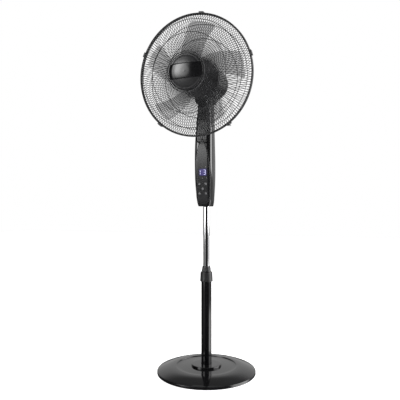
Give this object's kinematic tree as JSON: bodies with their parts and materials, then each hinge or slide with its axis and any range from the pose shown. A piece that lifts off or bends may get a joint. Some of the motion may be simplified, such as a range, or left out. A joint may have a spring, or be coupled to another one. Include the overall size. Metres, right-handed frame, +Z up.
{
  "type": "pedestal fan",
  "caption": "Floor-standing pedestal fan with a round weighted base, telescopic pole, tapered control column, wire guard, smoke-tinted blades and tilting, swinging head.",
  "frame": {"origin": "floor level on the pole's axis, under the middle of the round base", "axes": "+Z up the pole, the fan blows towards -Y, +X to the right of someone looking at its front"},
  "size_m": [0.44, 0.4072, 1.3389],
  "materials": {
    "gloss_black": "glossy moulded ABS",
    "satin_black": "satin moulded plastic",
    "black_tube": "gloss powder coat",
    "chrome_tube": "polished chrome plate",
    "wire_black": "black coated wire",
    "smoke_blade": "smoke tinted clear plastic",
    "panel_black": "gloss panel",
    "display_tint": "tinted window, lit",
    "key_grey": "pale grey keycap",
    "light_white": "clear light pipe",
    "board_green": "solder mask",
    "rubber_black": "moulded rubber",
    "iron_weight": "as cast, painted",
    "steel_plate": "zinc plated",
    "bearing_brass": "sintered bronze",
    "nylon_white": "natural nylon",
    "motor_cast": "die cast",
    "lamination": "stacked laminations",
    "copper_wire": "enamelled copper windings"
  },
  "bodies": {
    "stand": {"base_cover": "gloss_black", "anti_slip_ring": "rubber_black", "base_pan": "steel_plate", "base_weight": "iron_weight", "pole_trim": "gloss_black", "tube_flange": "steel_plate", "flange_screws": "steel_plate", "outer_tube": "black_tube", "tube_sleeve": "satin_black", "collet": "nylon_white"},
    "lock": {"lock_ring": "satin_black"},
    "riser": {"inner_tube": "chrome_tube", "tube_foot": "nylon_white", "column_front": "gloss_black", "column_rear": "gloss_black", "control_panel": "panel_black", "display_lens": "display_tint", "display_module": "light_white", "indicator_lights": "light_white", "control_board": "board_green", "power_board": "board_green", "tube_socket": "satin_black", "column_screws": "steel_plate", "cord_grommet": "rubber_black", "tilt_yoke": "steel_plate", "tilt_pin": "steel_plate", "tilt_nut": "steel_plate"},
    "key_power": {"key_power": "key_grey"},
    "key_swing": {"key_swing": "key_grey"},
    "key_mode": {"key_mode": "key_grey"},
    "key_timer": {"key_timer": "key_grey"},
    "key_speed": {"key_speed": "key_grey"},
    "neck": {"neck_shell": "gloss_black", "tilt_bracket": "motor_cast", "tilt_washers": "nylon_white", "swing_gear": "nylon_white", "swing_washer": "steel_plate"},
    "head": {"motor_shell_front": "gloss_black", "motor_shell_rear": "gloss_black", "swing_bush": "nylon_white", "swing_motor": "steel_plate", "motor_can_front": "motor_cast", "motor_can_rear": "motor_cast", "motor_bearings": "bearing_brass", "stator": "lamination", "windings": "copper_wire", "front_guard": "wire_black", "rear_guard": "wire_black", "guard_nut": "satin_black", "guard_rim": "satin_black", "rim_clips": "satin_black", "rim_screw": "steel_plate", "front_cap": "gloss_black"},
    "pinion": {"swing_pinion": "nylon_white", "pinion_shaft": "steel_plate"},
    "rotor": {"rotor_core": "lamination", "motor_shaft": "steel_plate", "fan_blades": "smoke_blade", "blade_nut": "satin_black"}
  },
  "joints": [
    {"name": "height_slide", "type": "slide", "parent": "stand", "child": "riser", "axis": [0, 0, 1], "range_m": [-0.19, 0.06]},
    {"name": "lock_turn", "type": "hinge", "parent": "stand", "child": "lock", "pos_m": [0, 0, 0.4], "axis": [0, 0, -1], "range_deg": [-90, 0]},
    {"name": "tilt", "type": "hinge", "parent": "riser", "child": "neck", "pos_m": [0, 0, 1.012], "axis": [-1, 0, 0], "range_deg": [-4, 12]},
    {"name": "swing", "type": "hinge", "parent": "neck", "child": "head", "pos_m": [0, 0, 1.012], "axis": [0, -0.0785, 0.9969], "range_deg": [-40, 40]},
    {"name": "pinion_turn", "type": "hinge", "parent": "head", "child": "pinion", "pos_m": [0, 0.02432, 1.07009], "axis": [0, -0.0785, 0.9969], "range_deg": [-200, 200]},
    {"name": "rotor_spin", "type": "hinge", "parent": "head", "child": "rotor", "pos_m": [0, -0.00892, 1.1253], "axis": [0, -0.9969, -0.0785], "continuous": true},
    {"name": "key_power_press", "type": "slide", "parent": "riser", "child": "key_power", "axis": [0, 1, 0], "range_m": [0, 0.0008], "stiffness_N_per_m": 300},
    {"name": "key_swing_press", "type": "slide", "parent": "riser", "child": "key_swing", "axis": [0, 1, 0], "range_m": [0, 0.0008], "stiffness_N_per_m": 300},
    {"name": "key_mode_press", "type": "slide", "parent": "riser", "child": "key_mode", "axis": [0, 1, 0], "range_m": [0, 0.0008], "stiffness_N_per_m": 300},
    {"name": "key_timer_press", "type": "slide", "parent": "riser", "child": "key_timer", "axis": [0, 1, 0], "range_m": [0, 0.0008], "stiffness_N_per_m": 300},
    {"name": "key_speed_press", "type": "slide", "parent": "riser", "child": "key_speed", "axis": [0, 1, 0], "range_m": [0, 0.0008], "stiffness_N_per_m": 300}
  ],
  "couplings": [
    {"joint": "pinion_turn", "follows": "swing", "ratio": 5}
  ]
}
